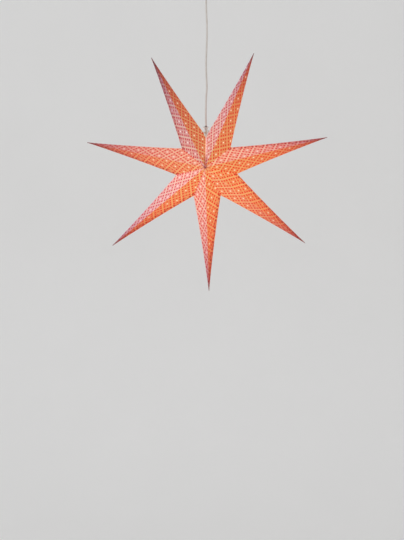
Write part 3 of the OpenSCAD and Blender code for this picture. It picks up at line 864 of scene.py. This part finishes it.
    kept = [face if facing(face) else tuple(reversed(face)) for face in kept]
    mesh = meshObject(name + "_card", vertices, kept + finFaces)
    data = mesh.data
    data.uv_layers.new(name="UVMap")
    data.color_attributes.new(name="lampLight", type="FLOAT_COLOR", domain="CORNER")
    layer, lampLight = data.uv_layers["UVMap"], data.color_attributes["lampLight"]
    afterSide = Vector((-axis.z, 0, axis.x))
    for face in data.polygons:
        fin = face.index >= len(kept)
        middle = [sum(uvs[k][n] for k in face.vertices) / len(face.vertices) for n in (0, 1)]
        beside = 1.0 if seam and 0 < sheet.polar(*middle)[1] < 2 * sheet.down else 0.0
        # how much painted cool light falls on this panel and turns it pink
        pink = coolLightAfter if outwards(face.vertices).dot(afterSide) > 0 else coolLightBefore
        for corner in face.loop_indices:
            k = data.loops[corner].vertex_index
            layer.data[corner].uv = uvs[k]
            reaching = light * (1 - loss * max(0, uvs[k][0]) / sheet.fold)
            lampLight.data[corner].color = (pink, reaching, beside, 1 if k in punched else 0)
        face.material_index = 1 if fin else 0
    data.update()
    for material in materials:
        data.materials.append(material)
    skin = mesh.modifiers.new("thickness", "SOLIDIFY")
    skin.thickness = card["thickness"]
    skin.offset = -1
    skin.use_even_offset = False
    skin.material_offset = 1
    skin.material_offset_rim = 2
    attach(mesh, "root")
    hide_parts(name)
    return mesh


def seamEdge(side, height):
    # how far to the side of the star's middle the edge beside the seam lies, at a height over it
    tipTurn = seamAngle - side * halfStep + (math.radians(star["lean"]) if side > 0 else 0)
    nx, nz = star["notchRadius"] * math.cos(seamAngle), star["notchRadius"] * math.sin(seamAngle)
    tx, tz = star["radius"] * math.cos(tipTurn), star["radius"] * math.sin(tipTurn)
    return nx + (tx - nx) * (height - nz) / (tz - nz)


def addStar():
    materials = [cardMaterial(), insideMaterial(), rimMaterial()]
    for index, name in enumerate(pointLooks):
        piece = addPoint(index, name, materials)
        print(name, len(piece.data.polygons), "faces")


addStar()


# ---- clip, ring and string

tie = {
    "string": 1.2,
    "clipWaist": 7.6,
    "colour": srgb(206, 184, 156),
}


def stringMaterial():
    # two-ply cotton: the plies run round the string, with painted shade in the grooves between them
    board = Board("cotton_string", Roughness=0.9, Sheen_Weight=0.3)
    along, around = board.parts(board.place("UV"))[:2]
    ply = abs((along * 2600 + around * 2 * math.pi).maths("SINE"))
    fluff = board.noise(2500, 3)
    colour = board.mixed(ply.fade(0.0, 0.5, 0.6, 0.0), tie["colour"], srgb(140, 116, 90))
    board.feed(Base_Color=colour, Normal=board.bump(ply + fluff * 0.4, 0.0003, 0.7))
    return board.material


def addString():
    radius = tie["string"] / 2
    waist = tie["clipWaist"] / 2
    front = -waist - tie["string"] - 1
    rise = star["depth"] / 2 / notchAt(1).z
    past = stringInset / mm * rise + radius + 1
    height = star["notchRadius"] + tieRise
    left = (seamEdge(-1, height) - stringInset - seamX) / mm
    right = (seamEdge(1, height) + stringInset - seamX) / mm
    loop = [(-1, front, 0), (left + 3, -past, 0), (left, -past + 1, 0), (left, 0, 0),
            (left, past - 1, 0), (left + 3, past, 0), (0, past + 1, 0), (right - 3, past, 0),
            (right, past - 1, 0), (right, 0, 0), (right, -past + 1, 0), (right - 3, -past, 0),
            (1, front, 0)]
    bow = [(0.3, front, 0.4), (3, front - 1, 3), (7, front - 1, 5), (9, front, 3), (7, front + 0.5, 0.5),
           (3, front, -0.5), (0.4, front + 0.2, -0.3)]
    tailLeft = [(-0.3, front, -0.2), (-3, front - 1, -1), (-5, front - 1, -5), (-5, front, -10)]
    tailRight = [(0.2, front - 0.3, -0.5), (2, front - 1.4, -2.6), (3, front - 2, -6), (5, front - 2, -9)]
    wound = waist + radius + 0.02
    winding = [(-wound * math.sin(math.radians(a)), -wound * math.cos(math.radians(a)), 0)
               for a in range(8, 356, 12)]
    # the knot: the string wraps once round its own start
    knot = [(1.1 * math.cos(a), front - 0.1 + 0.9 * math.sin(a), 0.9 * math.sin(a * 2) * 0.6)
            for a in [k * math.pi / 8 for k in range(17)]]
    knot += [(0.5 * math.cos(a), front - 0.4, math.sin(a)) for a in [k * math.pi / 6 for k in range(13)]]
    material = stringMaterial()
    for name, marks, steps in (("string_loop", loop, 6), ("string_bow", bow, 8),
                               ("string_tail_left", tailLeft, 8), ("string_tail_right", tailRight, 8),
                               ("string_winding", winding, 2), ("string_knot", knot, 2)):
        line = [Vector((p.x, p.y, p.z)) * mm + Vector((0, 0, stringZ)) for p in smooth(marks, steps)]
        ends = (lambda t: radius * mm * min(1, 0.5 + 12 * (1 - t))) if "tail" in name else radius * mm
        strand = tube(name, line, ends, 10, material)
        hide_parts("tie_string")
    print("string tied")


addString()


# ---- moulded, pressed and turned finishes for the solid parts

# colour, shade where it is handled, roughness, and how fine its grain is
finishes = {
    "white_plastic": (srgb(236, 236, 232), srgb(222, 221, 215), 0.32, 900),
    "insert_plastic": (srgb(232, 226, 210), srgb(214, 206, 188), 0.55, 600),
    "black_rubber": (srgb(38, 37, 38), srgb(58, 56, 55), 0.72, 1200),
    "contact_brass": (srgb(214, 176, 104), srgb(170, 128, 66), 0.3, 300),
    "steel": (srgb(188, 190, 194), srgb(150, 152, 158), 0.36, 260),
    "screw_steel": (srgb(200, 200, 204), srgb(150, 150, 156), 0.3, 500),
}
metals = ("contact_brass", "steel", "screw_steel")


def solidFinish(name):
    plain, shade, roughness, fineness = finishes[name]
    board = Board(name, Metallic=1.0 if name in metals else 0.0)
    handled = board.noise(40, 4)
    grain = board.noise(fineness, 3, 0.6)
    colour = board.mixed(handled.fade(0.42, 0.72), plain, shade)
    board.feed(Base_Color=colour, Roughness=roughness * (0.8 + 0.3 * grain + 0.15 * handled),
               Normal=board.bump(grain, 0.00008, 0.35))
    return board.material


def clearPlastic():
    board = Board("clear_plastic", IOR=1.49)
    flow = board.noise(120, 2)
    board.feed(Base_Color=board.mixed(flow, srgb(246, 243, 238), srgb(226, 220, 212)),
               Alpha=0.24 + 0.22 * flow, Roughness=0.1 + 0.1 * flow, Normal=board.bump(flow, 0.0004, 0.3))
    return board.material


def dressNodes():
    slots = {piece["node"]: piece["material_slot"] for piece in frame["record"]["subparts"]}
    made = {name: solidFinish(name) for name in finishes}
    made["clear_plastic"] = clearPlastic()
    for name, thing in nodes.items():
        material = made.get(slots[name])
        if material:
            thing.data.materials.clear()
            thing.data.materials.append(material)
    print("solid parts dressed")


dressNodes()


# ---- bulb

bulb = {
    "size": 45 * mm,
    "length": 77 * mm,
    "capSize": 14 * mm,
    "capHeight": 19 * mm,
    "contact": sleeveTop - holder["contact"],
    "slope": 30,
    "glow": srgb(255, 226, 176),
}


def turnedPiece(name, profile, segments, material):
    # a profile of (radius, height) turned about the vertical line through x = y = 0
    vertices, faces = [], []
    for radius, height in profile:
        for k in range(segments):
            a = 2 * math.pi * k / segments
            vertices.append((radius * math.cos(a), radius * math.sin(a), height))
    for i in range(len(profile) - 1):
        for k in range(segments):
            a, b = i * segments + k, i * segments + (k + 1) % segments
            faces.append((a, b, b + segments, a + segments))
    faces.append(tuple(reversed(range(segments))))
    faces.append(tuple((len(profile) - 1) * segments + k for k in range(segments)))
    piece = meshObject(name, vertices, faces)
    for face in piece.data.polygons:
        face.use_smooth = len(face.vertices) == 4
    piece.data.materials.append(material)
    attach(piece, "root")
    return piece


def addBulb():
    board = Board("opal_glass", Roughness=0.22, Emission_Strength=1.0)
    haze = board.noise(60, 3)
    board.feed(Base_Color=board.mixed(haze, srgb(240, 236, 226), srgb(250, 246, 238)),
               Emission_Color=board.mixed(haze, bulb["glow"], srgb(255, 234, 196)),
               Roughness=0.2 + 0.1 * haze)
    ball = bulb["size"] / 2
    middle = bulb["contact"] - bulb["length"] + ball
    neck = bulb["capSize"] / 2 + 1.4 * mm
    slope = math.radians(bulb["slope"])
    # the round part runs from close to its foot up to where the cone begins
    foot, steps = 2, 28
    span = 90 + bulb["slope"] - foot
    profile = [(ball * math.sin(a), middle - ball * math.cos(a))
               for a in [math.radians(foot + k * span / steps) for k in range(steps + 1)]]
    coneTop = middle + ball * math.sin(slope) + (ball * math.cos(slope) - neck) / math.tan(slope)
    capFoot = bulb["contact"] - bulb["capHeight"]
    for k in range(1, 9):
        t = k / 8
        profile.append((ball * math.cos(slope) * (1 - t) + neck * t - 0.5 * mm * math.sin(math.pi * t),
                        (middle + ball * math.sin(slope)) * (1 - t) + coneTop * t))
    profile.append((neck, capFoot + 0.4 * mm))
    glass = turnedPiece("bulb_glass", profile, 48, board.material)
    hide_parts("bulb")

    # rolled screw cap, with its round contact on top
    cap = bulb["capSize"] / 2
    thread = [(cap - 0.1 * mm, capFoot), (cap, capFoot + 1.5 * mm)]
    turns = 5
    for k in range(turns * 8):
        wave = 0.35 * mm * math.cos(k / 8 * 2 * math.pi)
        thread.append((cap - 0.4 * mm + wave, capFoot + 2 * mm + k / 8 * 2.5 * mm))
    thread += [(cap - 0.8 * mm, bulb["contact"] - 3 * mm), (cap - 2.4 * mm, bulb["contact"] - 1.8 * mm),
               (2.5 * mm, bulb["contact"] - 1.6 * mm), (2.5 * mm, bulb["contact"] - 0.4 * mm),
               (1.6 * mm, bulb["contact"] - 0.05 * mm)]
    screw = turnedPiece("bulb_cap", thread, 40, bpy.data.materials["contact_brass"])
    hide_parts("bulb")
    print("bulb turned")


addBulb()


# ---- room, light

room = {
    "floor": -2.35,
    "wall": 2.6,
    "paint": srgb(232, 231, 229),
    "world": 0.62,
    "near": -7,
    "halfWidth": 9,
    "height": 6.5,
    "bend": 1.4,
    "bendSteps": 12,
}
# power, size, place and colour
lamps = {
    "key": (34, 1.8, (-2.2, -2.6, 0.5), (0.96, 0.98, 1.0)),
    "fill": (9, 2.4, (2.6, -1.8, -0.6), (1.0, 0.98, 0.95)),
}


def addRoom():
    board = Board("pale_paint", Roughness=0.85)
    worn = board.noise(2.2, 4)
    ray = board.add("ShaderNodeLightPath", None, (), "Is Camera Ray")
    gloss = board.add("ShaderNodeLightPath", None, (), "Is Glossy Ray")
    through = board.add("ShaderNodeLightPath", None, (), "Is Transmission Ray")
    seen = ray.most(gloss).most(through)
    board.feed(Base_Color=board.mixed(worn, room["paint"], srgb(228, 227, 225)), Emission_Strength=1.0,
               Emission_Color=board.mixed(seen, (0, 0, 0, 1), (0.1, 0.1, 0.1, 1)))
    # floor, a rounded sweep, and the wall behind
    profile = [(room["near"], 0)]
    bend = room["bend"]
    for k in range(room["bendSteps"] + 1):
        a = k / room["bendSteps"] * math.pi / 2
        profile.append((room["wall"] - bend + bend * math.sin(a), bend - bend * math.cos(a)))
    profile.append((room["wall"], room["height"]))
    half = room["halfWidth"]
    vertices = [(x, y, room["floor"] + z) for y, z in profile for x in (-half, half)]
    faces = [(2 * i, 2 * i + 1, 2 * i + 3, 2 * i + 2) for i in range(len(profile) - 1)]
    sweep = meshObject("sweep", vertices, faces)
    for face in sweep.data.polygons:
        face.use_smooth = True
    sweep.data.materials.append(board.material)


def addLamp(name, power, size, place, colour):
    lamp = bpy.data.lights.new(name, "AREA")
    lamp.energy = power
    lamp.shape = "DISK"
    lamp.size = size
    lamp.color = colour
    thing = bpy.data.objects.new(name, lamp)
    bpy.context.scene.collection.objects.link(thing)
    thing.location = place
    thing.rotation_euler = (starMiddle - Vector(place)).to_track_quat("-Z", "Y").to_euler()


def addLight():
    world = bpy.data.worlds.new("room_light")
    bpy.context.scene.world = world
    world.use_nodes = True
    sky = world.node_tree.nodes["Background"]
    sky.inputs["Color"].default_value = (0.97, 0.98, 1.0, 1)
    sky.inputs["Strength"].default_value = room["world"]
    for name, lamp in lamps.items():
        addLamp(name, *lamp)


addRoom()
addLight()
bpy.context.scene.view_settings.view_transform = "Standard"
